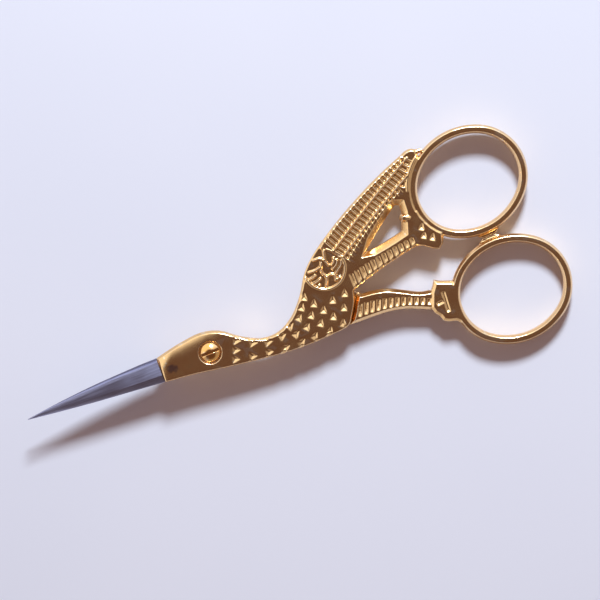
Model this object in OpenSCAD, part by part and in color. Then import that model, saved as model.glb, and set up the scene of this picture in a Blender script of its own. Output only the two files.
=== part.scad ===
// Stork embroidery scissors: two forged halves that cross at one slotted screw.
// Millimetres. +X runs from the point of the blades to the finger rings, +Y to the
// ring on the wing's side, +Z up. The origin is on the screw's axis, in the plane
// that the scissors lie on. The halves are drawn closed.

/* [Blades] */
// Length of the bare steel, from the plated head to the point
blade_l = 29.5; // [22:0.5:40]
// Width of the closed blades where they leave the head
blade_w = 5.2; // [4:0.1:6]
// Thickness of one blade where it leaves the head
blade_t = 1.3; // [1:0.05:1.6]
// Thickness of one blade at its point
tip_t = 0.4; // [0.3:0.05:0.6]
// How far the back blade's spine shows past the front blade's edge
blade_peek = 0.35; // [0.1:0.05:0.6]

/* [Halves] */
// Thickness of one half where the two halves lie on each other
half_t = 1.9; // [1.6:0.05:2.4]
// Gap between the two flat mating faces
mate_gap = 0.05; // [0.02:0.01:0.1]
// Gap seen from above where one half stands beside the other
side_gap = 0.25; // [0.15:0.05:0.5]
// Width of the sloping edge round every forged outline
edge_w = 0.65; // [0.3:0.05:0.8]
// Height of that sloping edge
edge_h = 0.6; // [0.3:0.05:0.8]
// Distance from the screw to the near side of the finger rings
handle_l = 49.75; // [46:0.05:56]
// Thickness of the back half's shank and of the front half's leg
shank_t = 3.2; // [2.6:0.1:3.6]

/* [Finger rings] */
// Length of a finger hole
hole_l = 21.7; // [19:0.1:26]
// Width of a finger hole
hole_w = 18.9; // [17:0.2:22]
// How much further from the screw the back half's ring lies than the front's
back_shift = 0.4; // [0:0.1:1]
// Width of the ring's band
ring_band = 1.85; // [1.6:0.05:2.8]
// Height of the ring
ring_h = 3.6; // [3:0.1:4.4]
// Width of the flat crest along the band
crest_w = 1.05; // [0.8:0.05:1.2]
// Turn of the front ring's long side out of the X axis, in degrees
front_tilt = 12; // [0:1:20]
// Turn of the back ring's long side out of the X axis, in degrees
back_tilt = 0; // [-10:1:10]
// How far each ring's stop pad stands out towards the other ring
stop_pad = 0.6; // [0.3:0.05:0.8]
// Gap between the two stop pads when the scissors are closed
stop_gap = 0.15; // [0.1:0.05:0.4]

/* [Screw] */
// Diameter of the screw's head
head_d = 4.0; // [3.4:0.1:4.6]
// Height of the head's dome above its rim
dome_h = 0.75; // [0.4:0.05:1.2]
// Width of the driver slot
slot_w = 0.6; // [0.4:0.05:0.9]
// Depth of the driver slot below the dome's top
slot_d = 0.7; // [0.4:0.05:0.8]
// Depth of the seat that the head sits in
seat_d = 0.6; // [0.4:0.05:0.9]
// Gap round the head in its seat
seat_gap = 0.4; // [0.2:0.05:0.6]
// Diameter of the shoulder that the front half turns on
shoulder_d = 2.6; // [2.2:0.1:3]
// Radial clearance of the front half on that shoulder
running_gap = 0.03; // [0.01:0.01:0.08]
// Outer diameter of the thread in the back half
thread_d = 2.2; // [1.6:0.1:2.4]

/* [Relief] */
// Depth of the feather marks on the neck and body
mark_d = 0.25; // [0.15:0.05:0.4]
// Length of one feather mark
mark_l = 1.7; // [1.2:0.1:2]
// Spacing of the bars across the wing
bar_pitch = 1.06; // [0.9:0.02:1.6]
// Width of one bar on the wing and of its ridges
bar_w = 0.36; // [0.3:0.02:0.5]
// Depth of the wing's cells and of the shell's dish
cell_d = 0.38; // [0.2:0.02:0.6]
// Spacing of the flutes on the legs
flute_pitch = 1.32; // [1.1:0.02:2]
// Width of the ribs between the flutes
rib_w = 0.38; // [0.3:0.02:0.6]
// Radius of the round shell mark on the body
shell_r = 4.6; // [4:0.1:4.8]
// Width of its raised rim
rim_w = 0.6; // [0.4:0.05:0.9]
// How far the rim stands above the body's face
rim_h = 0.15; // [0.05:0.05:0.3]

/* [Hidden] */
$fn = 64;
gold = "goldenrod";
steel = "slategray";

// Heights of the stack at the screw
back_top = half_t;
front_bottom = back_top + mate_gap;
front_top = front_bottom + half_t;
leg_bottom = front_top - shank_t;

// A cut starts this far outside the face that it opens
over = 0.3;

// Small helpers for points in the plane
function unit(v) = v / norm(v);
function left(v) = [-v[1], v[0]];
function turned(v, a) = [v[0] * cos(a) - v[1] * sin(a), v[0] * sin(a) + v[1] * cos(a)];
function lerp(a, b, t) = a + (b - a) * t;
// A point part of the way from a to b, pushed to the left by a swell
function between(a, b, t, swell = 0) = lerp(a, b, t) + left(unit(b - a)) * swell;

// A smooth curve through the given points, with n steps from each to the next
function bend(a, b, c, d, t) =
    (2 * b + (c - a) * t + (2 * a - 5 * b + 4 * c - d) * t * t
    + (3 * b - a - 3 * c + d) * t * t * t) / 2;
function curve(p, n = 4) = concat(
    [for (i = [0 : len(p) - 2], k = [0 : n - 1])
        bend(p[max(i - 1, 0)], p[i], p[i + 1], p[min(i + 2, len(p) - 1)], k / n)],
    [p[len(p) - 1]]);

// A closed outline without points that lie on their neighbour
function cleaned(p) = [for (i = [0 : len(p) - 1]) if (norm(p[i] - p[(i + 1) % len(p)]) > 0.02) p[i]];

// A closed outline, drawn anticlockwise, moved inwards by d
function inset(p, d) = [for (i = [0 : len(p) - 1])
    let (n = len(p),
         u = unit(p[i] - p[(i + n - 1) % n]),
         v = unit(p[(i + 1) % n] - p[i]))
    p[i] + (left(u) + left(v)) * d / max(1 + u * v, 0.5)];

// Triangles that fill a closed anticlockwise outline. At each step the first corner
// that can be cut off, with no other point inside it, becomes a triangle.
function turn_of(a, b, c) = cross(b - a, c - b);
function is_ear(p, ids, i) =
    let (n = len(ids), a = ids[(i + n - 1) % n], b = ids[i], c = ids[(i + 1) % n])
    turn_of(p[a], p[b], p[c]) > 0
    && len([for (j = ids) if (j != a && j != b && j != c
        && turn_of(p[a], p[b], p[j]) >= 0
        && turn_of(p[b], p[c], p[j]) >= 0
        && turn_of(p[c], p[a], p[j]) >= 0) j]) == 0;
function first_ear(p, ids, i = 0) =
    is_ear(p, ids, i) ? i : i + 1 < len(ids) ? first_ear(p, ids, i + 1) : undef;
function triangles(p, ids) =
    len(ids) == 3 ? [ids] :
    let (n = len(ids), i = first_ear(p, ids))
    assert(!is_undef(i), "an outline crosses itself")
    concat([[ids[(i + n - 1) % n], ids[i], ids[(i + 1) % n]]],
           triangles(p, [for (j = [0 : n - 1]) if (j != i) ids[j]]));
function ids_of(p) = [for (i = [0 : len(p) - 1]) i];

// A solid between loops of equal length, given from the lowest to the highest
module loft(loops, heights) {
    n = len(loops[0]);
    m = len(loops);
    polyhedron(
        [for (j = [0 : m - 1], p = loops[j]) [p[0], p[1], heights[j]]],
        concat(
            triangles(loops[0], ids_of(loops[0])),
            [for (j = [0 : m - 2], i = [0 : n - 1])
                [j * n + i, (j + 1) * n + i, (j + 1) * n + (i + 1) % n, j * n + (i + 1) % n]],
            [for (t = triangles(loops[m - 1], ids_of(loops[m - 1])))
                [(m - 1) * n + t[2], (m - 1) * n + t[1], (m - 1) * n + t[0]]]));
}

// A forged slab with sloping edges above, below or on both sides
module slab(outline, z0, z1, above = true, below = false, drop = edge_h) {
    slope = inset(outline, edge_w);
    loops = concat(below ? [slope] : [], [outline, outline], above ? [slope] : []);
    heights = concat(
        below ? [z0] : [],
        [below ? z0 + edge_h : z0, above ? z1 - drop : z1],
        above ? [z1] : []);
    loft(loops, heights);
}

// A sunk mark with sloping walls: its outline on the face at height z, pressed
// down by a depth, and drawn in by its slope
module sunk(outline, slope, depth, z) {
    wider = over * slope / depth;
    loft([inset(outline, slope), inset(outline, -wider)], [z - depth, z + over]);
}

// An outline of a mark, placed at a point and turned
function placed(outline, at, turn) = [for (p = outline) at + turned(p, turn)];
function bar_outline(l, w) = [[-l / 2, -w / 2], [l / 2, -w / 2], [l / 2, w / 2], [-l / 2, w / 2]];

// The oval of a finger hole is four arcs that meet without a corner. Their centres
// are corners of 3-4-5 triangles, so the places where they meet are exact.
swell = (hole_l - hole_w) / 2;
end_c = swell * 1.5;
side_c = swell * 2;
end_r = hole_l / 2 - end_c;
side_r = hole_w / 2 + side_c;

// Half of the height that a tilted ring takes along Y
function reach(tilt) = norm([(hole_l / 2 + ring_band) * sin(tilt),
                             (hole_w / 2 + ring_band) * cos(tilt)]);
ring_x = handle_l + ring_band + hole_l / 2;
touch_y = 1.25;
stop_reach = stop_pad + stop_gap / 2;
front_ring = [ring_x, touch_y + stop_reach + reach(front_tilt)];
back_ring = [ring_x + back_shift, touch_y - stop_reach - reach(back_tilt)];

// A point of a ring, at a distance out from the hole's edge and an angle
function ring_point(centre, tilt, out, a) =
    centre + turned([(hole_l / 2 + out) * cos(a), (hole_w / 2 + out) * sin(a)], tilt);

module band_profile(r) {
    translate([r + ring_band / 2, ring_h / 2]) polygon([
        [-ring_band / 2, -ring_h / 5], [-crest_w / 2, -ring_h / 2],
        [crest_w / 2, -ring_h / 2], [ring_band / 2, -ring_h / 5],
        [ring_band / 2, ring_h / 5], [crest_w / 2, ring_h / 2],
        [-crest_w / 2, ring_h / 2], [-ring_band / 2, ring_h / 5]]);
}

// One arc of the ring: the part of a full ring within a wedge
module band_arc(at, r, ray_1, ray_2) {
    far = ceil(hole_l / 4);
    intersection() {
        translate(at) rotate_extrude() band_profile(r);
        translate([0, 0, -over]) linear_extrude(ring_h + 2 * over)
            polygon([at, at + ray_1 * far, at + ray_2 * far]);
    }
}

module finger_ring(centre, tilt) {
    translate([centre[0], centre[1], 0]) rotate(tilt) {
        band_arc([end_c, 0], end_r, [3, -4], [3, 4]);
        band_arc([0, -side_c], side_r, [3, 4], [-3, 4]);
        band_arc([-end_c, 0], end_r, [-3, 4], [-3, -4]);
        band_arc([0, side_c], side_r, [-3, -4], [3, -4]);
    }
}

// A low pad on the outer side of a ring, where it meets the other one
module ring_pad(side) {
    foot = 3;
    crest = 1.4;
    into = ring_band * 0.6;
    lip = side * stop_gap / 2;
    translate([ring_x, touch_y, ring_h * 0.25]) linear_extrude(ring_h * 0.35)
        polygon([[-foot, lip + side * (stop_pad + into)], [-foot, lip + side * stop_pad * 1.9],
                 [-crest, lip], [crest, lip],
                 [foot, lip + side * stop_pad * 1.9], [foot, lip + side * (stop_pad + into)]]);
}

// Blades. The root is where the plating ends. Going from the root to the point,
// s runs from 0 to 1.
root_x = -11;
root_top = 2.8;
root_low = root_top - blade_w;
point_top = 0.78;
point_low = 0.66;
top_swell = 0.5;
low_swell = 0.2;
function blade_x(s) = root_x - blade_l * s;

// One blade: its flat inner face at height z, its back away from that face. The
// edge side carries the cutting bevel, the spine side a broad slope.
module blade(z, away, edge, spine) {
    steps = 14;
    bevel = 0.35;
    slope = 1.5;
    cut_t = 0.15;
    points = [for (i = [0 : steps])
        let (s = i / steps,
             e = lerp(edge[0], edge[1], s) + edge[2] * 4 * s * (1 - s),
             b = lerp(spine[0], spine[1], s) + spine[2] * 4 * s * (1 - s),
             share = (e - b) / (edge[0] - spine[0]),
             side = sign(edge[0] - spine[0]),
             t = lerp(blade_t, tip_t, s))
        each [[blade_x(s), e, z],
              [blade_x(s), e, z + away * cut_t],
              [blade_x(s), e - side * bevel * share, z + away * t],
              [blade_x(s), b + side * slope * share, z + away * t],
              [blade_x(s), b, z + away * t * 0.45],
              [blade_x(s), b, z]]];
    n = 6;
    flip = away * sign(edge[0] - spine[0]) > 0;
    sides = [for (i = [0 : steps - 1], k = [0 : n - 1])
        each let (a = i * n + k, b = i * n + (k + 1) % n)
            [[a, b, a + n], [b, b + n, a + n]]];
    faces = concat(
        sides,
        [[for (k = [n - 1 : -1 : 0]) k]],
        [[for (k = [0 : n - 1]) steps * n + k]]);
    polyhedron(points, flip ? faces : [for (f = faces) [for (k = [len(f) - 1 : -1 : 0]) f[k]]]);
}

module front_blade() {
    color(steel) blade(front_bottom, 1,
        [root_top - blade_peek, point_top, top_swell], [root_low, point_low, -low_swell]);
}

module back_blade() {
    color(steel) blade(back_top, -1,
        [root_low + blade_peek, point_low, -low_swell], [root_top, point_top, top_swell]);
}

// Outline points that both halves share, from the plated head to the body
head_top = [[root_x, 2.8], [-8.7, 3.35], [-5, 4.05], [-0.5, 4.45], [3.4, 3.4], [7, 0.75]];
neck_top = [[11, -1.2], [14.8, -1.2], [18.3, 0.7], [21.4, 4.0]];
body_top = [[24.2, 8.2], [28, 11.6]];
belly = [[28.6, -5.45], [24.3, -5.9], [19.8, -6.05], [14.5, -5.85], [9, -5.2],
         [4.8, -4.65], [0.6, -4.0], [-5, -3.1], [root_x, -2.45]];
rump = [[32.4, 1.1], [31.7, -1.1], [30.4, -3.3]];

// A gently curved line is [start, end, swell], and on() gives its point at t
function on(line, t) = between(line[0], line[1], t, line[2] * 4 * t * (1 - t));
function backwards(p) = [for (i = [len(p) - 1 : -1 : 0]) p[i]];

// Front half. Its wing and leg run from the body to places round its ring, each
// given by its distance out from the hole's edge and its angle.
function by_front(out, a) = ring_point(front_ring, front_tilt, out, a);
wing_edge = [body_top[1], by_front(5.2, 123.5), 0.85];
wing_tip = [by_front(4.8, 119), by_front(4.1, 115), by_front(3.1, 113)];
leg_edge = [rump[0], by_front(6.3, 199.5), 0.3];
leg_foot = by_front(3.8, 202);

front_outline = cleaned(backwards(concat(
    curve(concat(head_top, neck_top, body_top, [for (t = [0.3, 0.6, 0.85, 1]) on(wing_edge, t)], wing_tip)),
    [for (a = [120 : 8 : 192]) ring_point(front_ring, front_tilt, ring_band * 0.6, a)],
    [leg_foot],
    [for (t = [1 : -0.1 : 0.05]) on(leg_edge, t)],
    curve(concat(rump, belly)))));

// The see-through space between wing and leg, with a broad slope round its mouth
gap_slope = 1.3;
gap_drop = 1.2;
gap_apex = [37.4, 7.35];
gap_high = [gap_apex, by_front(5.2, 163), 0.15];
gap_low = [gap_apex, by_front(6.2, 183.5), -0.15];
front_gap = concat(
    [for (t = [0 : 0.25 : 1]) on(gap_low, t)],
    [by_front(5.2, 177), by_front(4.3, 169.3), by_front(4.3, 164)],
    [for (t = [1 : -0.25 : 0.25]) on(gap_high, t)]);

// Below the mating plane the leg keeps its full thickness, beside the back half.
// The keel is drawn in a little from the leg's outer wall, as at a forging's seam,
// and runs into the see-through space, whose cut trims it.
seam = 0.12;
leg_keel = concat(
    [for (t = [0.1 : 0.15 : 1]) on(leg_edge, t) + [0, seam]],
    [by_front(3.3, 201), by_front(3.3, 187), by_front(4.6, 183)],
    [for (t = [0.7, 0.35]) on(gap_low, t) + [0, 0.4]],
    [gap_apex + [-0.8, -0.4], [34.6, 4.4]]);

front_collar = concat(
    [by_front(6, 186), by_front(6.6, 198), by_front(5.5, 203.7),
     by_front(5.1, 211), by_front(4.7, 216.3), by_front(3.3, 217.3)],
    [for (a = [214 : -8 : 174]) ring_point(front_ring, front_tilt, ring_band * 0.5, a)],
    [by_front(2.4, 171), by_front(3.8, 172.4), by_front(4.6, 176.2), by_front(5.1, 181.2)]);

// Back half. Its hidden body follows the front half's. Its shank runs from the
// body to places round its own ring: along() takes a share of the way and a swell.
function by_back(out, a) = ring_point(back_ring, back_tilt, out, a);
function along(a, b, steps) = [for (s = steps) between(a, b, s[0], s[1])];
clear = [side_gap, 0];
shank_low = along(belly[0], by_back(5.9, 173), [[0.14, 0.4], [0.32, 0.95],
    [0.51, 1.35], [0.69, 1.25], [0.85, 0.65], [1, 0]]);
shank_top = along(rump[0] + clear + [0, -1.1], by_back(5.5, 155), [[0.93, -0.65],
    [0.8, -0.75], [0.58, 0], [0.38, 0.55], [0.21, 0.4], [0.06, 0]]);
shank_lower = concat([belly[0] + 2 * clear], curve(shank_low));
shank_upper = curve(shank_top);
shank_end = [by_back(3.2, 173.7), by_back(4, 158)];
shank_outline = cleaned(concat(
    shank_lower, shank_end, shank_upper,
    [for (p = rump) p + clear + (p == rump[0] ? [0, -1.1] : [0, 0])]));

back_collar = concat(
    [by_back(6.1, 159), by_back(6.4, 170.5), by_back(5.8, 175.5), by_back(5, 179),
     by_back(4.7, 183.7), by_back(3.7, 186.6), by_back(2.3, 189.3), by_back(1.7, 194.6)],
    [for (a = [192 : -8 : 152]) ring_point(back_ring, back_tilt, ring_band * 0.35, a)],
    [by_back(1.9, 147.5), by_back(4.6, 149.8), by_back(5.8, 149.7), by_back(5.8, 154)]);

// The shank's upper edges slope more steeply than the others
shank_drop = 1.1;

// The lower layer runs from the head to the end of the shank, and lies hidden
// under the front half's body
hidden_in = 0.15;
back_outline = cleaned(backwards(concat(
    inset_line(curve(concat(head_top, neck_top)), hidden_in),
    curve([[22.2, 4.4], [25.5, 5.3], [29.5, 4.0], [32.2, 1.0]]),
    backwards(shank_upper), backwards(shank_end), backwards(shank_lower),
    inset_line(curve(belly), hidden_in))));

// An open line moved to its right by d
function inset_line(p, d) = [for (i = [0 : len(p) - 1])
    p[i] - left(unit(p[min(i + 1, len(p) - 1)] - p[max(i - 1, 0)])) * d];

// Feather marks: each row runs from a low to a high point across the neck, with a
// number of marks and the direction in which they point
mark_rows = [
    [[4.4, -3.3], [5.9, 0.2], 3, -18], [[7.9, -4.0], [8.9, -1.5], 2, -14],
    [[11.4, -4.5], [11.9, -2.5], 2, -4], [[15.0, -4.9], [15.1, -2.4], 2, 14],
    [[18.5, -5.0], [17.4, -1.1], 3, 30], [[21.5, -4.8], [19.8, -0.1], 3, 44],
    [[24.8, -5.0], [21.1, 1.7], 4, 56], [[27.9, -4.4], [22.3, 3.5], 5, 66],
    [[29.2, -1.5], [27.6, 0.8], 2, 70], [[30.4, 1.2], [30.4, 1.2], 1, 72]];
mark_outline = [[-mark_l * 0.35, -mark_l * 0.42], [mark_l * 0.65, 0], [-mark_l * 0.35, mark_l * 0.42]];

module feather_marks() {
    for (row = mark_rows, i = [0 : row[2] - 1])
        sunk(placed(mark_outline, lerp(row[0], row[1], row[2] > 1 ? i / (row[2] - 1) : 0), row[3]),
             mark_l * 0.26, mark_d, front_top);
}

// Three rows of sunk cells leave two ridges and the bars between them standing, and
// two short rows fill the corners by the ring. Each row lies between two lines, from
// and to a share of each line's length.
wing_rim = [[30.2, 12.7], by_front(4.4, 121.6), 0.45];
ridge_1 = [[31.5, 10.2], by_front(3.7, 122.4), 0.3];
ridge_2 = [[32.9, 8.3], by_front(2.4, 137.5), 0.3];
wing_hem = [[33.5, 7.2], by_front(3.2, 151), 0.6];
by_ring_1 = [by_front(2.45, 136), by_front(2.45, 124), 0.15];
by_ring_2 = [by_front(2.6, 150), by_front(2.5, 143), 0];
wing_rows = [[ridge_1, 0, 0.98, wing_rim, 0, 0.97],
             [ridge_2, 0, 1, ridge_1, 0, 0.88],
             [by_ring_1, 0, 1, ridge_1, 0.88, 0.98],
             [wing_hem, 0, 0.98, ridge_2, 0, 0.85],
             [by_ring_2, 0, 1, ridge_2, 0.86, 0.94]];

module wing_cells() {
    for (row = wing_rows) {
        n = max(1, floor(norm(on(row[0], row[2]) - on(row[0], row[1])) / bar_pitch));
        for (i = [0 : n - 1])
            sunk(inset([on(row[0], lerp(row[1], row[2], i / n)),
                        on(row[0], lerp(row[1], row[2], (i + 1) / n)),
                        on(row[3], lerp(row[4], row[5], (i + 1) / n)),
                        on(row[3], lerp(row[4], row[5], i / n))], bar_w / 2),
                 bar_w * 0.4, cell_d, front_top);
    }
}

// Flutes across a leg: each stands on the lower edge and points along a direction
module flutes(starts, lengths, turn, z) {
    for (i = [0 : len(starts) - 1])
        sunk(placed(bar_outline(lengths[i], flute_pitch - rib_w),
                    starts[i] + turned([lengths[i] / 2, 0], turn), turn),
             flute_slope, flute_d, z);
}

flute_foot = edge_w - 0.1;
flute_slope = 0.42;
flute_d = 0.27;
leg_run = norm(leg_edge[1] - leg_edge[0]);
leg_flutes = floor(leg_run / flute_pitch) + 1;
leg_starts = [for (i = [0 : leg_flutes - 1])
    on(leg_edge, lerp(0.04, 0.97, i / (leg_flutes - 1))) + [0, flute_foot]];
leg_lengths = [for (i = [0 : leg_flutes - 1]) lerp(2.9, 1.7, i / (leg_flutes - 1))];

shank_line = [belly[0] + [2.9, flute_foot + 0.3], by_back(6.6, 168.5), 0.75];
shank_run = norm(shank_line[1] - shank_line[0]);
shank_flutes = floor(shank_run / flute_pitch) + 1;
shank_starts = [for (i = [0 : shank_flutes - 1]) on(shank_line, i / (shank_flutes - 1))];
shank_lengths = [for (i = [0 : shank_flutes - 1]) lerp(3.0, 1.5, i / (shank_flutes - 1))];
shank_turn = 68;

// The round shell: a sunk dish with a raised rim below and ridges that fan out
// inside. A ridge is a curve through places counted from the shell's centre, drawn
// for a shell of the size that shell_drawn says.
shell_c = [28.3, 7.45];
shell_from = 186;
shell_turn = 190;
shell_drawn = 4.6;
shell_lines = [
    [[1.7, 3.7], [3.1, 2.4], [3.8, 1.0]], [[1.2, 3.6], [0.7, 1.5]],
    [[-1.6, 2.4], [0.2, 2.1], [1.1, 0.2]], [[-0.1, 1.6], [-0.8, -0.5], [-0.2, -1.9], [-1.0, -3.7]],
    [[-3.4, 0.4], [-2.0, 0.3], [-0.7, 0.6]], [[-3.8, -1.0], [-2.8, -0.9], [-2.2, -0.6]],
    [[-3.4, -2.1], [-2.4, -2.0], [-1.4, -1.6]], [[-2.9, -3.1], [-2.0, -2.8]],
    [[2.6, 1.5], [2.3, 0.6], [1.5, 0.1]], [[3.1, 0.9], [2.7, 0.0], [1.4, -0.8]],
    [[3.9, 0.5], [3.5, -0.5], [2.7, -1.1], [1.7, -1.9]], [[1.3, -3.2], [2.5, -2.7]],
    [[-0.2, -1.9], [0.5, -1.6], [1.2, -1.7], [1.5, -2.5], [1.3, -3.2]]];

module shell_rim() {
    translate([shell_c[0], shell_c[1], front_top - cell_d - over]) rotate(shell_from)
        rotate_extrude(angle = shell_turn) translate([shell_r - rim_w, 0])
            polygon([[0, 0], [rim_w, 0], [rim_w, cell_d + over], [rim_w * 0.7, cell_d + over + rim_h],
                     [rim_w * 0.3, cell_d + over + rim_h]]);
}

module shell_ridges() {
    for (line = shell_lines) {
        c = curve(line * shell_r / shell_drawn);
        translate([shell_c[0], shell_c[1], front_top - cell_d - over])
            linear_extrude(cell_d + over * 0.9)
                polygon(concat(inset_line(c, bar_w / 2), backwards(inset_line(c, -bar_w / 2))));
    }
}

module shell_dish() {
    translate([shell_c[0], shell_c[1], front_top - cell_d])
        cylinder(h = cell_d + over, r = shell_r - rim_w * 0.6);
}

// Small pressed marks on the collars
drop = [[-0.6, -0.6], [1, 0], [-0.6, 0.6]];
module front_collar_marks() {
    for (m = [[2.5, 192], [3.5, 198.8], [2.9, 206.4]])
        sunk(placed(drop, by_front(m[0], m[1]), 60), 0.3, mark_d, front_top);
}
module back_collar_marks() {
    sunk(placed(bar_outline(4.6, 1), by_back(3.1, 167.6), 86), flute_slope, flute_d, ring_h);
    sunk(placed(bar_outline(1.7, 1), by_back(4.3, 167.8), 8), flute_slope, flute_d, ring_h);
}

// A small raised knob at the corner of the see-through space, by the ring
module corner_knob() {
    at = by_front(4.4, 175.5);
    translate([at[0], at[1], front_top - gap_drop]) cylinder(h = gap_drop + 0.15, r1 = 1, r2 = 0.4);
}

module front_handle() {
    seat_r = head_d / 2 + seat_gap;
    color(gold) corner_knob();
    color(gold) difference() {
        union() {
            difference() {
                slab(front_outline, front_bottom, front_top);
                shell_dish();
            }
            slab(leg_keel, leg_bottom, front_bottom + edge_h, above = false, below = true);
            slab(front_collar, 0, front_top, below = true);
            finger_ring(front_ring, front_tilt);
            ring_pad(1);
            shell_rim();
            shell_ridges();
        }
        loft([front_gap, front_gap, inset(front_gap, -gap_slope * (1 + over / gap_drop))],
             [-over, front_top - gap_drop, front_top + over]);
        translate([0, 0, front_bottom - over])
            cylinder(h = half_t + 2 * over, d = shoulder_d + 2 * running_gap);
        translate([0, 0, front_top - seat_d]) cylinder(h = seat_d + over, r = seat_r);
        feather_marks();
        wing_cells();
        flutes(leg_starts, leg_lengths, 90, front_top);
        front_collar_marks();
    }
}

module back_handle() {
    color(gold) difference() {
        union() {
            slab(back_outline, 0, back_top, above = false, below = true);
            slab(shank_outline, back_top, shank_t, drop = shank_drop);
            slab(back_collar, 0, ring_h, below = true);
            finger_ring(back_ring, back_tilt);
            ring_pad(-1);
        }
        translate([0, 0, -over]) cylinder(h = back_top + 2 * over, d = thread_d - 0.1);
        flutes(shank_starts, shank_lengths, shank_turn, shank_t);
        back_collar_marks();
    }
}

module pivot_screw() {
    rim_t = 0.35;
    dome_r = (head_d * head_d / 4 + dome_h * dome_h) / (2 * dome_h);
    head_z = front_top - seat_d + mate_gap;
    color(gold) difference() {
        union() {
            cylinder(h = back_top, d = thread_d);
            translate([0, 0, back_top]) cylinder(h = head_z - back_top + rim_t, d = shoulder_d);
            translate([0, 0, head_z]) cylinder(h = rim_t, d = head_d);
            translate([0, 0, head_z + rim_t]) intersection() {
                cylinder(h = dome_h, d = head_d);
                translate([0, 0, dome_h - dome_r]) sphere(r = dome_r);
            }
        }
        translate([-head_d, -slot_w / 2, head_z + rim_t + dome_h - slot_d])
            cube([2 * head_d, slot_w, slot_d + over]);
    }
}

front_blade();
front_handle();
back_blade();
back_handle();
pivot_screw();
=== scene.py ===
"""Looks of the stork embroidery scissors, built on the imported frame.

Lengths are in millimetres, and MM turns them into the frame's metres. A value that carries MM, or
whose comment says so, is in metres. The axes are the frame's own, with the screw's axis at the origin.
"""
import math

import bmesh
import bpy
from mathutils import Matrix, Vector


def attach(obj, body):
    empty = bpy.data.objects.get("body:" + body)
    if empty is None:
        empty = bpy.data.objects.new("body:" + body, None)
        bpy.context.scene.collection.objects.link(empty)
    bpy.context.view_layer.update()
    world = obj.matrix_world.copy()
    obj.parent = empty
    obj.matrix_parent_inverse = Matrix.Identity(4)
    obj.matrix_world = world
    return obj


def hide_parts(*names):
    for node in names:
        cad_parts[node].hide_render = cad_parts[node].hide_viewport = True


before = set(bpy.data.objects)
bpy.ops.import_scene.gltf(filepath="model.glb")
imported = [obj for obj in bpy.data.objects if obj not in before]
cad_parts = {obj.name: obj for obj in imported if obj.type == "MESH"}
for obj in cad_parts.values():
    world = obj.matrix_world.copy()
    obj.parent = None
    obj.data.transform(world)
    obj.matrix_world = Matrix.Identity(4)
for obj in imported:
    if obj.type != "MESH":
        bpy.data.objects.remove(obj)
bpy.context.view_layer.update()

MM = 0.001
UP = Vector((0, 0, 1))

# The photograph's own directions, its scale, and the screw's place in it
IMAGE_RIGHT = Vector((0.9304, -0.3665, 0))
IMAGE_UP = Vector((0.3665, 0.9304, 0))
PHOTO_PIXELS = 600
PIXEL = 0.2065 * MM
SCREW_PIXEL = (210, 352.5)

# Heights of the two relief faces, and the front ring's finger hole
FRONT_FACE = 3.85
SHANK_FACE = 3.2
FRONT_RING = (62.45, 13.29)
RING_TILT = math.radians(12)
HOLE_HALF = (10.85, 9.45)

# The bevel along the front half's outline: its height, the widths it may have, and the share of its
# width that is taken back where it faces the photograph's upper left, and where it faces away
EDGE_HEIGHT = 0.6
EDGE_WIDTH = (0.3, 1.6)
EDGE_SHARE = (0.3, 0.68)
UPPER_LEFT = (IMAGE_UP * 0.9 - IMAGE_RIGHT * 0.45).normalized()

# Sunk marks become dents. A mark is found by its depth and opens wider by a share, and a share of
# its floor stays, shifted up the photograph and pushed deeper into the metal. A mark that reaches
# further from its middle than LONGEST_DENT stays as it is
FEATHER_DENT = {"depth": 0.25, "wider": 0.33, "floor_share": 0.38, "shift": 0.18, "deeper": 0.06}
FLUTE_DENT = {"depth": 0.27, "wider": 0, "floor_share": 0.45, "shift": 0.25, "deeper": 0.12}
LONGEST_DENT = 1.2

# How far from a height a corner may lie and still count as on it
NEAR_EDGE = 0.02
NEAR_FACE = 0.01
NEAR_FLOOR = 0.006

# The head's face is flat up to HEAD_FLAT above the screw and rolls down beyond, in what lies above
# ROLLED_ABOVE. The roll dies away along the neck. Its strips are each a width and a count
HEAD_TOP = (IMAGE_UP * 0.88 - IMAGE_RIGHT * 0.47).normalized()
HEAD_FLAT = 1.5
HEAD_ROLL = 0.058
HEAD_STRIPS = (0.35, 11)
ROLLED_ABOVE = 2.6
NECK_START = 6
NECK_END = 14
NECK_STRIPS = (0.8, 11)

# Towards the blade the face rolls down again, just before the plating ends
PLATING_FLAT = 7.8
PLATING_ROLL = 0.08
PLATING_STRIPS = (0.3, 9)

# The forged skin: its fineness, the rounds of smoothing, and the share of triangles that stay
SKIN_VOXEL = 0.125
SKIN_ROUNDS = 2
SKIN_THINNING = 0.5

# Beads on the relief, each a height over the front face and a radius
BEAD_SIDES = 8
RIDGE_BEAD = (0.06, 0.22)
BORDER_BEAD = (0.02, 0.2)
BAR_BEAD = (-0.03, 0.12)
SHELL_BEAD = (-0.03, 0.17)
RIM_BEAD = (-0.02, 0.26)
KNOB_BEAD = (-0.65, 0.9)
WEB_BEAD = (-0.75, 0.55)

# A knob on the wall of the opening, and the web between the wing's tip and the ring
KNOB = ((47.28, 11.12), (47.61, 11.01), (48.33, 10.86), (49.2, 10.8))
TIP_WEB = ((53.9, 22.75), (54.9, 22.95), (56.0, 22.9))

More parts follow.
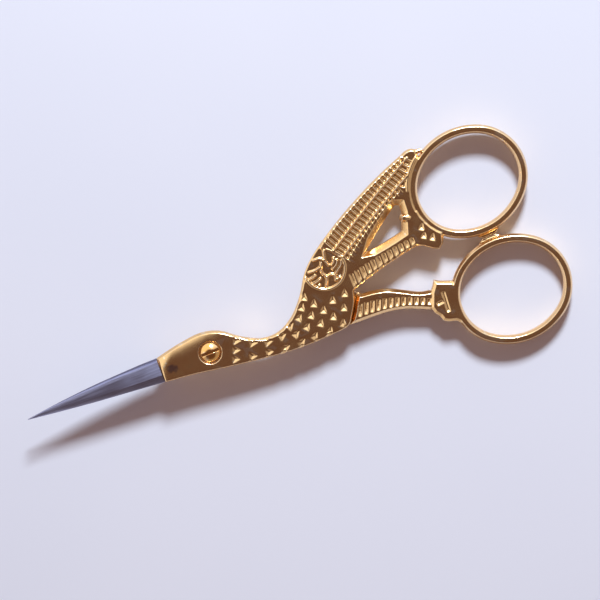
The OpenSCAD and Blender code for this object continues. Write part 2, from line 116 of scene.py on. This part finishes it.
# The shell's ridges, as places round its centre, and its rim, in degrees
SHELL_CENTRE = Vector((28.3, 7.45))
SHELL_RADIUS = 4.6
RIM_INSET = 0.3
RIM_ANGLES = range(186, 386, 10)
SHELL_LINES = (
    ((1.7, 3.7), (3.1, 2.4), (3.8, 1.0)),
    ((1.2, 3.6), (0.7, 1.5)),
    ((-1.6, 2.4), (0.2, 2.1), (1.1, 0.2)),
    ((-0.1, 1.6), (-0.8, -0.5), (-0.2, -1.9), (-1.0, -3.7)),
    ((-3.4, 0.4), (-2.0, 0.3), (-0.7, 0.6)),
    ((-3.8, -1.0), (-2.8, -0.9), (-2.2, -0.6)),
    ((-3.4, -2.1), (-2.4, -2.0), (-1.4, -1.6)),
    ((-2.9, -3.1), (-2.0, -2.8)),
    ((2.6, 1.5), (2.3, 0.6), (1.5, 0.1)),
    ((3.1, 0.9), (2.7, 0.0), (1.4, -0.8)),
    ((3.9, 0.5), (3.5, -0.5), (2.7, -1.1), (1.7, -1.9)),
    ((1.3, -3.2), (2.5, -2.7)),
    ((-0.2, -1.9), (0.5, -1.6), (1.2, -1.7), (1.5, -2.5), (1.3, -3.2)),
)

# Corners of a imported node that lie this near, in metres, become one, and triangles of the screw and
# the blades that meet under this angle become one face
MERGE_WITHIN = 1e-6
FLAT_ANGLE = math.radians(1.5)

# Colours of the plating and of the two blades' steel, with the painted shade that darkens the plating's
# hollows and also tints its random stains, and the painted highlight that pales its edges
HANDLE_COLOUR = (0.96, 0.63, 0.29, 1)
SCREW_COLOUR = (1.0, 0.56, 0.17, 1)
SHADE_AND_STAIN_COLOUR = (0.3, 0.16, 0.08, 1)
# The pale colour of the painted highlight on the plating's outward edges
PAINTED_HIGHLIGHT_COLOUR = (1.0, 0.87, 0.64, 1)
UPPER_STEEL_COLOURS = ((0.37, 0.38, 0.54, 1), (0.49, 0.5, 0.68, 1))
# The lower blade is the same steel as the upper, darker here as painted shade
SHADED_LOWER_STEEL_COLOURS = ((0.2, 0.2, 0.29, 1), (0.34, 0.34, 0.46, 1))

# The spot where the plating is rubbed through, just behind its end
WORN_PLACE = (-8.4 * MM, -0.1 * MM, 3.8 * MM)
WORN_REACH = (1.7 * MM, 1.4 * MM, 2.0 * MM)
WORN_COLOUR = (0.28, 0.21, 0.24, 1)

# How fine the patterns are, as repeats in a metre
PLATING_CLOUDS = 420.0
PLATING_GRAIN = 5200.0
WORN_FRAYING = 900.0
HANDLING_CLOUDS = 300.0
GRINDING_STREAKS = (160.0, 5200.0, 2600.0)
FLOOR_CLOUDS = 9.0

# Where a surface turns inwards and gets painted shade, and where it turns outwards and gets a painted
# highlight
HOLLOW_SHADE_CURVE = (0.5, 0.445)
HIGHLIGHT_CURVE = (0.508, 0.55)

# The floor slopes down towards the blades' points, and lies a small gap under the lower ring. Its
# reach is in metres, and its fall is a slope that points downhill
FLOOR_REACH = 1.6
FLOOR_GAP = 0.7 * MM
FLOOR_PLACE = Vector((62.8, -11.8, 0)) * MM
FLOOR_FALL = IMAGE_UP * 0.03 - Vector((0.056, 0, 0))
FLOOR_TINTS = ((0.81, 0.8, 0.85, 1), (0.84, 0.825, 0.87, 1))

# The dark part of the room: how far it leans towards the viewer, and its soft edge
DARK_LEAN = math.radians(20)
DARK_EDGE = (math.radians(50), math.radians(34))
DARK_COLOUR = (0.125, 0.072, 0.063, 1)

# The walls, from the photograph's lower right to its upper left, and the room's colour for light
# that has already bounced off something dull
WALL_COLOURS = ((0.44, 0.39, 0.39, 1), (1.15, 1.14, 1.2, 1))
WALL_EDGE = (-0.45, 0.35)
BRIGHT_SIDE = (IMAGE_UP * 0.8 - IMAGE_RIGHT * 0.6).normalized()
SOFT_COLOUR = (0.24, 0.16, 0.15, 1)

# The lamp that stands for a window, in metres and watts
WINDOW_SIDE = UP * 0.86 + IMAGE_UP + IMAGE_RIGHT * 0.1
WINDOW_DISTANCE = 0.9
WINDOW_WIDTH = 0.2
WINDOW_POWER = 10.3
WINDOW_COLOUR = (0.74, 0.86, 1.0)

# The camera, in metres. VIEW_LEVEL is the height over the table for which PIXEL holds
VIEW_TILT = math.radians(4)
VIEW_DISTANCE = 0.5
VIEW_LEVEL = 3.6 * MM
NEAREST_VIEW = 0.01
SENSOR_WIDTH = 36


def by_front_ring(out, angle):
    """A place round the front ring, out from the hole's edge, at an angle in degrees."""
    a = math.radians(angle)
    x = (HOLE_HALF[0] + out) * math.cos(a)
    y = (HOLE_HALF[1] + out) * math.sin(a)
    c, s = math.cos(RING_TILT), math.sin(RING_TILT)
    return (FRONT_RING[0] + x * c - y * s, FRONT_RING[1] + x * s + y * c)


# Lines of the wing, each a start, an end and a swell to the left
WING_RIM = ((30.2, 12.7), by_front_ring(4.4, 121.6), 0.45)
RIDGE_1 = ((31.5, 10.2), by_front_ring(3.7, 122.4), 0.3)
RIDGE_2 = ((32.9, 8.3), by_front_ring(2.4, 137.5), 0.3)
WING_HEM = ((33.5, 7.2), by_front_ring(3.2, 151), 0.6)
BY_RING_1 = (by_front_ring(2.45, 136), by_front_ring(2.45, 124), 0.15)
BY_RING_2 = (by_front_ring(2.6, 150), by_front_ring(2.5, 143), 0)
BORDER_OUT = 2.2
BORDER_ANGLES = range(118, 156, 4)
BAR_PITCH = 1.06

# Each row of bars lies between two lines, from and to a share of each; the last two numbers
# are how far the bars run on past the lower and the upper line
WING_ROWS = (
    (RIDGE_1, 0, 0.98, WING_RIM, 0, 0.97, 0, 0.35),
    (RIDGE_2, 0, 1, RIDGE_1, 0, 0.88, 0, 0),
    (BY_RING_1, 0, 1, RIDGE_1, 0.88, 0.98, 0, 0),
    (WING_HEM, 0, 0.98, RIDGE_2, 0, 0.85, 0.5, 0),
    (BY_RING_2, 0, 1, RIDGE_2, 0.86, 0.94, 0, 0),
)


def on(line, t):
    """A place part of the way along a gently bowed line (start, end, swell)."""
    a, b = Vector(line[0]), Vector(line[1])
    left = Vector((a.y - b.y, b.x - a.x)).normalized()
    return a.lerp(b, t) + left * line[2] * 4 * t * (1 - t)


def bowed(line, count=14):
    """Points along a bowed line, from end to end."""
    return [on(line, i / count) for i in range(count + 1)]


def rounded(points, steps=5):
    """A smooth line through a few points."""
    p = [Vector(q) for q in points]
    line = []
    for i in range(len(p) - 1):
        a, b, c, d = p[max(i - 1, 0)], p[i], p[i + 1], p[min(i + 2, len(p) - 1)]
        for k in range(steps):
            t = k / steps
            line.append((2 * b + (c - a) * t + (2 * a - 5 * b + 4 * c - d) * t * t
                         + (3 * b - a - 3 * c + d) * t ** 3) / 2)
    line.append(p[-1])
    return line


def bead(bm, line, size, fade=0.6):
    """A round bead laid along a line on the front face, thinner at its two ends."""
    height, radius = size
    loop = None
    last = len(line) - 1
    for i, point in enumerate(line):
        ahead = line[min(i + 1, last)] - line[max(i - 1, 0)]
        facing = UP.rotation_difference(Vector((ahead.x, ahead.y, 0)))
        place = Matrix.Translation(Vector((point.x, point.y, FRONT_FACE + height)) * MM)
        r = radius * (fade if i in (0, last) else 1.0)
        made = bmesh.ops.create_circle(bm, segments=BEAD_SIDES, radius=r * MM, cap_ends=i in (0, last),
                                       matrix=place @ facing.to_matrix().to_4x4())
        # A dict keeps the edges in their order, so that every run gives the same mesh
        edges = list(dict.fromkeys(e for v in made["verts"] for e in v.link_edges
                                   if len(e.link_faces) < 2))
        if loop:
            bmesh.ops.bridge_loops(bm, edges=loop + edges)
        loop = edges


def group_tree(name, inputs, outputs):
    """An empty shader group with named sockets."""
    tree = bpy.data.node_groups.new(name, "ShaderNodeTree")
    for label, kind, value in inputs:
        socket = tree.interface.new_socket(label, in_out="INPUT", socket_type=kind)
        socket.default_value = value
    for label, kind in outputs:
        tree.interface.new_socket(label, in_out="OUTPUT", socket_type=kind)
    return tree, tree.nodes.new("NodeGroupInput"), tree.nodes.new("NodeGroupOutput")


def math_node(tree, operation, *values, clamp=False):
    """One step of arithmetic on numbers and other nodes' values."""
    node = tree.nodes.new("ShaderNodeMath")
    node.operation = operation
    node.use_clamp = clamp
    for socket, value in zip(node.inputs, values):
        if isinstance(value, (int, float)):
            socket.default_value = value
        else:
            tree.links.new(value, socket)
    return node.outputs[0]


def span(tree, value, low, high, to_low=0.0, to_high=1.0):
    """Maps a value from one span to another, held at the ends."""
    node = tree.nodes.new("ShaderNodeMapRange")
    node.interpolation_type = "SMOOTHSTEP"
    tree.links.new(value, node.inputs["Value"])
    node.inputs["From Min"].default_value = low
    node.inputs["From Max"].default_value = high
    node.inputs["To Min"].default_value = to_low
    node.inputs["To Max"].default_value = to_high
    return node.outputs["Result"]


def blend_colours(tree, share, first, second):
    """Goes from the first colour to the second as the share grows."""
    node = tree.nodes.new("ShaderNodeMix")
    node.data_type = "RGBA"
    for socket, value in ((node.inputs[0], share), (node.inputs[6], first), (node.inputs[7], second)):
        if isinstance(value, tuple):
            socket.default_value = value
        else:
            tree.links.new(value, socket)
    return node.outputs[2]


def noise(tree, vector, scale, detail, stretch=None):
    """A cloudy pattern, which may be stretched."""
    if stretch:
        mapping = tree.nodes.new("ShaderNodeMapping")
        mapping.inputs["Scale"].default_value = stretch
        tree.links.new(vector, mapping.inputs["Vector"])
        vector = mapping.outputs[0]
    node = tree.nodes.new("ShaderNodeTexNoise")
    node.inputs["Scale"].default_value = scale
    node.inputs["Detail"].default_value = detail
    tree.links.new(vector, node.inputs["Vector"])
    return node.outputs["Fac"]


def relief_wear_and_painted_light():
    """Painted shade in the hollows, painted highlights on the outward edges, random stains and a fine
    uneven surface.
    """
    tree, given, out = group_tree(
        "relief wear and painted light",
        [("Colour", "NodeSocketColor", (1, 1, 1, 1)), ("Shade and stain colour", "NodeSocketColor", (0, 0, 0, 1)),
         ("Highlight colour", "NodeSocketColor", (1, 1, 1, 1)), ("Hollow shade", "NodeSocketFloat", 1.0),
         ("Edge highlight", "NodeSocketFloat", 0.5), ("Roughness", "NodeSocketFloat", 0.3)],
        [("Colour", "NodeSocketColor"), ("Roughness", "NodeSocketFloat"), ("Height", "NodeSocketFloat")])
    here = tree.nodes.new("ShaderNodeTexCoord").outputs["Object"]
    curve = tree.nodes.new("ShaderNodeNewGeometry").outputs["Pointiness"]
    cloud = noise(tree, here, PLATING_CLOUDS, 4.0)
    grain = noise(tree, here, PLATING_GRAIN, 2.0)

    uneven = math_node(tree, "MULTIPLY_ADD", cloud, 0.03, -0.015)
    shifted = math_node(tree, "ADD", curve, uneven)
    # Painted shade: the colour darkens where the surface curves inwards
    painted_hollow_shade = span(tree, shifted, *HOLLOW_SHADE_CURVE)
    painted_hollow_shade = math_node(tree, "MULTIPLY", painted_hollow_shade, given.outputs["Hollow shade"], clamp=True)
    # Painted highlight: the colour pales where the surface curves outwards
    painted_edge_highlight = span(tree, shifted, *HIGHLIGHT_CURVE)
    painted_edge_highlight = math_node(tree, "MULTIPLY", painted_edge_highlight, given.outputs["Edge highlight"], clamp=True)

    colour = blend_colours(tree, painted_hollow_shade, given.outputs["Colour"], given.outputs["Shade and stain colour"])
    colour = blend_colours(tree, painted_edge_highlight, colour, given.outputs["Highlight colour"])
    stain = span(tree, cloud, 0.35, 0.7, 0.0, 0.14)
    colour = blend_colours(tree, stain, colour, given.outputs["Shade and stain colour"])
    tree.links.new(colour, out.inputs["Colour"])

    rough = math_node(tree, "ADD", given.outputs["Roughness"], span(tree, cloud, 0.3, 0.7, -0.03, 0.03))
    # The hollows are also rougher
    hollow_roughness = math_node(tree, "MULTIPLY", painted_hollow_shade, 0.16)
    rough = math_node(tree, "ADD", rough, hollow_roughness, clamp=True)
    tree.links.new(rough, out.inputs["Roughness"])

    height = math_node(tree, "ADD", math_node(tree, "MULTIPLY", grain, 0.35), cloud)
    tree.links.new(height, out.inputs["Height"])
    return tree


def grinding():
    """Fine scratches that run along the blade, and cloudy handling marks."""
    tree, given, out = group_tree(
        "grinding",
        [("Colour", "NodeSocketColor", (1, 1, 1, 1)), ("Scratch colour", "NodeSocketColor", (1, 1, 1, 1)),
         ("Roughness", "NodeSocketFloat", 0.3)],
        [("Colour", "NodeSocketColor"), ("Roughness", "NodeSocketFloat"), ("Height", "NodeSocketFloat")])
    here = tree.nodes.new("ShaderNodeTexCoord").outputs["Object"]
    streak = noise(tree, here, 1.0, 4.0, GRINDING_STREAKS)
    cloud = noise(tree, here, HANDLING_CLOUDS, 3.0)

    scratch = span(tree, streak, 0.42, 0.66, 0.0, 0.5)
    colour = blend_colours(tree, scratch, given.outputs["Colour"], given.outputs["Scratch colour"])
    tree.links.new(colour, out.inputs["Colour"])

    rough = math_node(tree, "ADD", given.outputs["Roughness"], span(tree, cloud, 0.3, 0.7, -0.02, 0.02))
    rough = math_node(tree, "ADD", rough, span(tree, streak, 0.4, 0.7, 0.0, 0.06))
    tree.links.new(rough, out.inputs["Roughness"])
    tree.links.new(streak, out.inputs["Height"])
    return tree


RELIEF_WEAR_AND_PAINTED_LIGHT = relief_wear_and_painted_light()
GRINDING = grinding()


def metal(name):
    """A bare metal material."""
    material = bpy.data.materials.new(name)
    material.use_nodes = True
    material.node_tree.nodes["Principled BSDF"].inputs["Metallic"].default_value = 1.0
    return material


def finish_with(material, tree, values, bump, distance):
    """Places an effect group in a material and joins it to the Principled shader."""
    nodes, links = material.node_tree.nodes, material.node_tree.links
    shader = nodes["Principled BSDF"]
    effect = nodes.new("ShaderNodeGroup")
    effect.node_tree = tree
    for label, value in values.items():
        effect.inputs[label].default_value = value
    relief = nodes.new("ShaderNodeBump")
    relief.inputs["Strength"].default_value = bump
    relief.inputs["Distance"].default_value = distance * MM
    links.new(effect.outputs["Height"], relief.inputs["Height"])
    links.new(effect.outputs["Roughness"], shader.inputs["Roughness"])
    links.new(relief.outputs["Normal"], shader.inputs["Normal"])
    return effect, shader


def worn_through(tree, colour):
    """Lets the dark steel show in a ragged spot of the plating."""
    here = tree.nodes.new("ShaderNodeTexCoord").outputs["Object"]
    place = tree.nodes.new("ShaderNodeMapping")
    place.vector_type = "TEXTURE"
    place.inputs["Location"].default_value = WORN_PLACE
    place.inputs["Scale"].default_value = WORN_REACH
    tree.links.new(here, place.inputs["Vector"])
    ball = tree.nodes.new("ShaderNodeTexGradient")
    ball.gradient_type = "SPHERICAL"
    tree.links.new(place.outputs[0], ball.inputs[0])
    fraying = span(tree, noise(tree, here, WORN_FRAYING, 4.0), 0.3, 0.7, -0.3, 0.3)
    ragged = math_node(tree, "ADD", ball.outputs["Fac"], fraying)
    return blend_colours(tree, span(tree, ragged, 0.2, 0.8, 0.0, 0.75), colour, WORN_COLOUR)


def gold_plate(name, colour, roughness, hollow_shade, edge_highlight, worn_spot=False):
    """Gold plating, with painted shade in its hollows and painted highlights on its edges."""
    material = metal(name)
    values = {"Colour": colour, "Shade and stain colour": SHADE_AND_STAIN_COLOUR, "Highlight colour": PAINTED_HIGHLIGHT_COLOUR,
              "Hollow shade": hollow_shade, "Edge highlight": edge_highlight, "Roughness": roughness}
    effect, shader = finish_with(material, RELIEF_WEAR_AND_PAINTED_LIGHT, values, bump=0.25, distance=0.03)
    shown = effect.outputs["Colour"]
    if worn_spot:
        shown = worn_through(material.node_tree, shown)
    material.node_tree.links.new(shown, shader.inputs["Base Color"])
    return material


def blade_steel(name, colours):
    """Bare ground steel, in its own colour and that of its scratches."""
    material = metal(name)
    values = {"Colour": colours[0], "Scratch colour": colours[1], "Roughness": 0.32}
    effect, shader = finish_with(material, GRINDING, values, bump=0.12, distance=0.02)
    material.node_tree.links.new(effect.outputs["Colour"], shader.inputs["Base Color"])
    return material


HANDLE_GOLD = gold_plate("handle_gold_plate", HANDLE_COLOUR, 0.22, hollow_shade=0.7, edge_highlight=0.6, worn_spot=True)
SCREW_GOLD = gold_plate("screw_gold_plate", SCREW_COLOUR, 0.16, hollow_shade=0.0, edge_highlight=0.4)
UPPER_STEEL = blade_steel("upper_blade_steel", UPPER_STEEL_COLOURS)
# The lower blade's steel is the upper's, darkened as painted shade
SHADED_LOWER_STEEL = blade_steel("lower_blade_steel_painted_shade", SHADED_LOWER_STEEL_COLOURS)


def copied_node(node, bm):
    """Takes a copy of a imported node's mesh, with its loose triangles merged."""
    bm.from_mesh(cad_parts[node].data)
    bmesh.ops.remove_doubles(bm, verts=bm.verts, dist=MERGE_WITHIN)


def at_height(v, height, within):
    """Whether a corner lies on a height."""
    return abs(v.co.z / MM - height) < within


def narrow_edges(bm, low_side):
    """Draws the crest of the outline's bevel outwards, most where it faces away from the upper left."""
    moves = []
    for v in bm.verts:
        if not at_height(v, low_side + EDGE_HEIGHT, NEAR_EDGE):
            continue
        feet = [e.other_vert(v) for e in v.link_edges]
        ways = [Vector((foot.co.x - v.co.x, foot.co.y - v.co.y, 0)) for foot in feet
                if at_height(foot, low_side, NEAR_EDGE)]
        ways = [way for way in ways if EDGE_WIDTH[0] * MM < way.length < EDGE_WIDTH[1] * MM]
        if ways:
            out = min(ways, key=lambda way: way.length)
            away = 0.5 - 0.5 * out.normalized().dot(UPPER_LEFT)
            moves.append((v, out * (EDGE_SHARE[0] + (EDGE_SHARE[1] - EDGE_SHARE[0]) * away)))
    for v, move in moves:
        v.co += move


def hollow_out(bm, face, depth, wider, floor_share, shift, deeper):
    """Turns each sunk mark of one depth into a dent, deepest towards its upper end."""
    bm.verts.index_update()
    left = {v.index: v for v in bm.verts if at_height(v, face - depth, NEAR_FLOOR)}
    while left:
        mark = [left.pop(next(iter(left)))]
        for v in mark:
            for e in v.link_edges:
                near = e.other_vert(v).index
                if near in left:
                    mark.append(left.pop(near))
        middle = sum((v.co for v in mark), Vector()) / len(mark)
        if max((v.co - middle).length for v in mark) > LONGEST_DENT * MM:
            continue
        rim = {e.other_vert(v).index: e.other_vert(v) for v in mark for e in v.link_edges}
        for v in rim.values():
            if at_height(v, face, NEAR_FACE):
                v.co.x += (v.co.x - middle.x) * wider
                v.co.y += (v.co.y - middle.y) * wider
        for v in mark:
            v.co = middle + (v.co - middle) * floor_share + (IMAGE_UP * shift - UP * deeper) * MM


def cut_across(bm, direction, start, step, count):
    """Cuts a mesh into strips along a direction from the screw."""
    for k in range(count):
        bmesh.ops.bisect_plane(bm, geom=bm.verts[:] + bm.edges[:] + bm.faces[:],
                               plane_co=direction * (start + k * step) * MM, plane_no=direction)


def dome_head(bm):
    """Rolls the head gently down, towards its upper edge and the end of the plating."""
    cut_across(bm, HEAD_TOP, HEAD_FLAT, *HEAD_STRIPS)
    cut_across(bm, IMAGE_RIGHT, NECK_START, *NECK_STRIPS)
    cut_across(bm, -IMAGE_RIGHT, PLATING_FLAT, *PLATING_STRIPS)
    for v in bm.verts:
        up = v.co.dot(HEAD_TOP) / MM - HEAD_FLAT
        along = v.co.dot(IMAGE_RIGHT) / MM
        if v.co.z < ROLLED_ABOVE * MM or along > NECK_END:
            continue
        fade = min(1.0, (NECK_END - along) / (NECK_END - NECK_START))
        v.co.z -= HEAD_ROLL * max(up, 0) ** 2 * fade * fade * (3 - 2 * fade) * MM
        v.co.z -= PLATING_ROLL * max(-along - PLATING_FLAT, 0) ** 2 * MM


def piece_from(bm, name, material, body, node):
    """Makes a piece of a mesh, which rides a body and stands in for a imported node."""
    bmesh.ops.recalc_face_normals(bm, faces=bm.faces)
    mesh = bpy.data.meshes.new(name)
    bm.to_mesh(mesh)
    bm.free()
    mesh.materials.append(material)
    piece = bpy.data.objects.new(name, mesh)
    bpy.context.scene.collection.objects.link(piece)
    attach(piece, body)
    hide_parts(node)
    return piece


def soften(piece):
    """Fuses the beads with the forging, rounds every edge a little and thins the mesh."""
    skin = piece.modifiers.new("skin", "REMESH")
    skin.mode = "VOXEL"
    skin.voxel_size = SKIN_VOXEL * MM
    skin.use_smooth_shade = True
    ease = piece.modifiers.new("ease", "SMOOTH")
    ease.factor = 0.5
    ease.iterations = SKIN_ROUNDS
    thin = piece.modifiers.new("thin", "DECIMATE")
    thin.ratio = SKIN_THINNING


def wing_beads(bm):
    """Round crests on the wing's two ridges, on its border by the ring and on every bar."""
    bead(bm, bowed(RIDGE_1), RIDGE_BEAD)
    bead(bm, bowed(RIDGE_2), RIDGE_BEAD)
    bead(bm, [Vector(by_front_ring(BORDER_OUT, a)) for a in BORDER_ANGLES], BORDER_BEAD)
    for low, low_from, low_to, high, high_from, high_to, below, above in WING_ROWS:
        run = (on(low, low_to) - on(low, low_from)).length
        bars = max(1, int(run / BAR_PITCH))
        for i in range(bars + 1):
            foot = on(low, low_from + (low_to - low_from) * i / bars)
            head = on(high, high_from + (high_to - high_from) * i / bars)
            run_on = (head - foot).normalized()
            foot, head = foot - run_on * below, head + run_on * above
            bead(bm, [foot, foot.lerp(head, 0.5), head], BAR_BEAD, fade=1.0)


def shell_ridges(bm):
    """The ridges inside the round shell mark."""
    for line in SHELL_LINES:
        bead(bm, [SHELL_CENTRE + q for q in rounded(line)], SHELL_BEAD)


def shell_rim(bm):
    """The raised rim round the lower half of the shell mark."""
    radius = SHELL_RADIUS - RIM_INSET
    angles = [math.radians(a) for a in RIM_ANGLES]
    bead(bm, [SHELL_CENTRE + Vector((math.cos(a), math.sin(a))) * radius for a in angles], RIM_BEAD)


def front_forging():
    """The stork's head, neck, body, wing and leg, with the upper finger ring."""
    bm = bmesh.new()
    copied_node("front_handle", bm)
    hollow_out(bm, FRONT_FACE, **FEATHER_DENT)
    hollow_out(bm, FRONT_FACE, **FLUTE_DENT)
    narrow_edges(bm, FRONT_FACE - EDGE_HEIGHT)
    dome_head(bm)
    wing_beads(bm)
    shell_ridges(bm)
    bead(bm, [Vector(q) for q in KNOB], KNOB_BEAD)
    bead(bm, [Vector(q) for q in TIP_WEB], WEB_BEAD, fade=0.8)
    shell_rim(bm)
    soften(piece_from(bm, "front_forging", HANDLE_GOLD, "front_half", "front_handle"))


def back_forging():
    """The second leg, with the lower finger ring and the hidden body."""
    bm = bmesh.new()
    copied_node("back_handle", bm)
    hollow_out(bm, SHANK_FACE, **FLUTE_DENT)
    soften(piece_from(bm, "back_forging", HANDLE_GOLD, "back_half", "back_handle"))


def eased_copy(node, name, material, body, width, sharp):
    """A copy of a node, with a small round on every edge that is sharper than some degrees."""
    bm = bmesh.new()
    copied_node(node, bm)
    bmesh.ops.dissolve_limit(bm, angle_limit=FLAT_ANGLE, verts=bm.verts, edges=bm.edges)
    for face in bm.faces:
        face.smooth = True
    piece = piece_from(bm, name, material, body, node)
    ease = piece.modifiers.new("ease", "BEVEL")
    ease.width = width * MM
    ease.segments = 2
    ease.limit_method = "ANGLE"
    ease.angle_limit = math.radians(sharp)
    ease.harden_normals = True


front_forging()
back_forging()
eased_copy("pivot_screw", "slotted_screw", SCREW_GOLD, "back_half", width=0.07, sharp=35)
eased_copy("front_blade", "upper_blade", UPPER_STEEL, "front_half", width=0.04, sharp=12)
eased_copy("back_blade", "lower_blade", SHADED_LOWER_STEEL, "back_half", width=0.04, sharp=12)


def floor():
    """A pale table top under the scissors."""
    bm = bmesh.new()
    bmesh.ops.create_grid(bm, x_segments=8, y_segments=8, size=FLOOR_REACH)
    for v in bm.verts:
        v.co.z = -FLOOR_GAP - (v.co - FLOOR_PLACE).dot(FLOOR_FALL)
    mesh = bpy.data.meshes.new("floor")
    bm.to_mesh(mesh)
    bm.free()
    material = bpy.data.materials.new("pale_floor")
    material.use_nodes = True
    tree = material.node_tree
    shader = tree.nodes["Principled BSDF"]
    shader.inputs["Roughness"].default_value = 0.8
    here = tree.nodes.new("ShaderNodeTexCoord").outputs["Object"]
    cloud = span(tree, noise(tree, here, FLOOR_CLOUDS, 2.0), 0.35, 0.65)
    tree.links.new(blend_colours(tree, cloud, *FLOOR_TINTS), shader.inputs["Base Color"])
    mesh.materials.append(material)
    piece = bpy.data.objects.new("floor", mesh)
    bpy.context.scene.collection.objects.link(piece)


def surroundings():
    """A pale room, dark overhead and on the viewer's side."""
    world = bpy.data.worlds.new("room")
    bpy.context.scene.world = world
    world.use_nodes = True
    tree = world.node_tree
    direction = tree.nodes.new("ShaderNodeTexCoord").outputs["Generated"]

    def towards(axis, start, end):
        facing = tree.nodes.new("ShaderNodeVectorMath")
        facing.operation = "DOT_PRODUCT"
        tree.links.new(direction, facing.inputs[0])
        facing.inputs[1].default_value = axis
        return span(tree, facing.outputs["Value"], start, end)

    overhead = UP * math.cos(DARK_LEAN) - IMAGE_UP * math.sin(DARK_LEAN)
    dark = towards(overhead, *(math.cos(angle) for angle in DARK_EDGE))
    walls = blend_colours(tree, towards(BRIGHT_SIDE, *WALL_EDGE), *WALL_COLOURS)
    seen = blend_colours(tree, dark, walls, DARK_COLOUR)
    bounces = tree.nodes.new("ShaderNodeLightPath").outputs["Diffuse Depth"]
    soft = math_node(tree, "GREATER_THAN", bounces, 0.5)
    both = blend_colours(tree, soft, seen, SOFT_COLOUR)
    tree.links.new(both, tree.nodes["Background"].inputs["Color"])


def window():
    """The one lamp, a soft round one beyond the upper edge of the photograph."""
    light = bpy.data.lights.new("window", "AREA")
    light.shape = "DISK"
    light.size = WINDOW_WIDTH
    light.energy = WINDOW_POWER
    light.color = WINDOW_COLOUR
    holder = bpy.data.objects.new("window", light)
    holder.location = WINDOW_SIDE.normalized() * WINDOW_DISTANCE
    holder.rotation_euler = WINDOW_SIDE.to_track_quat("Z", "Y").to_euler()
    bpy.context.scene.collection.objects.link(holder)


def camera():
    """Looks almost straight down, with the screw where the photograph has it."""
    across = PHOTO_PIXELS / 2 - SCREW_PIXEL[0]
    upwards = SCREW_PIXEL[1] - PHOTO_PIXELS / 2
    middle = UP * VIEW_LEVEL + (IMAGE_RIGHT * across + IMAGE_UP * upwards) * PIXEL
    back = (UP * math.cos(VIEW_TILT) + IMAGE_UP * math.sin(VIEW_TILT)).normalized()
    top = UP.cross(IMAGE_RIGHT).normalized()
    top = (top - back * top.dot(back)).normalized()
    right = top.cross(back)
    lens = bpy.data.cameras.new("camera")
    lens.sensor_width = SENSOR_WIDTH
    lens.lens = SENSOR_WIDTH * VIEW_DISTANCE / (PHOTO_PIXELS * PIXEL)
    lens.clip_start = NEAREST_VIEW
    holder = bpy.data.objects.new("camera", lens)
    turn = Matrix((right, top, back)).transposed().to_4x4()
    holder.matrix_world = Matrix.Translation(middle + back * VIEW_DISTANCE) @ turn
    bpy.context.scene.collection.objects.link(holder)
    bpy.context.scene.camera = holder


floor()
surroundings()
window()
camera()
bpy.context.scene.view_settings.view_transform = "Standard"
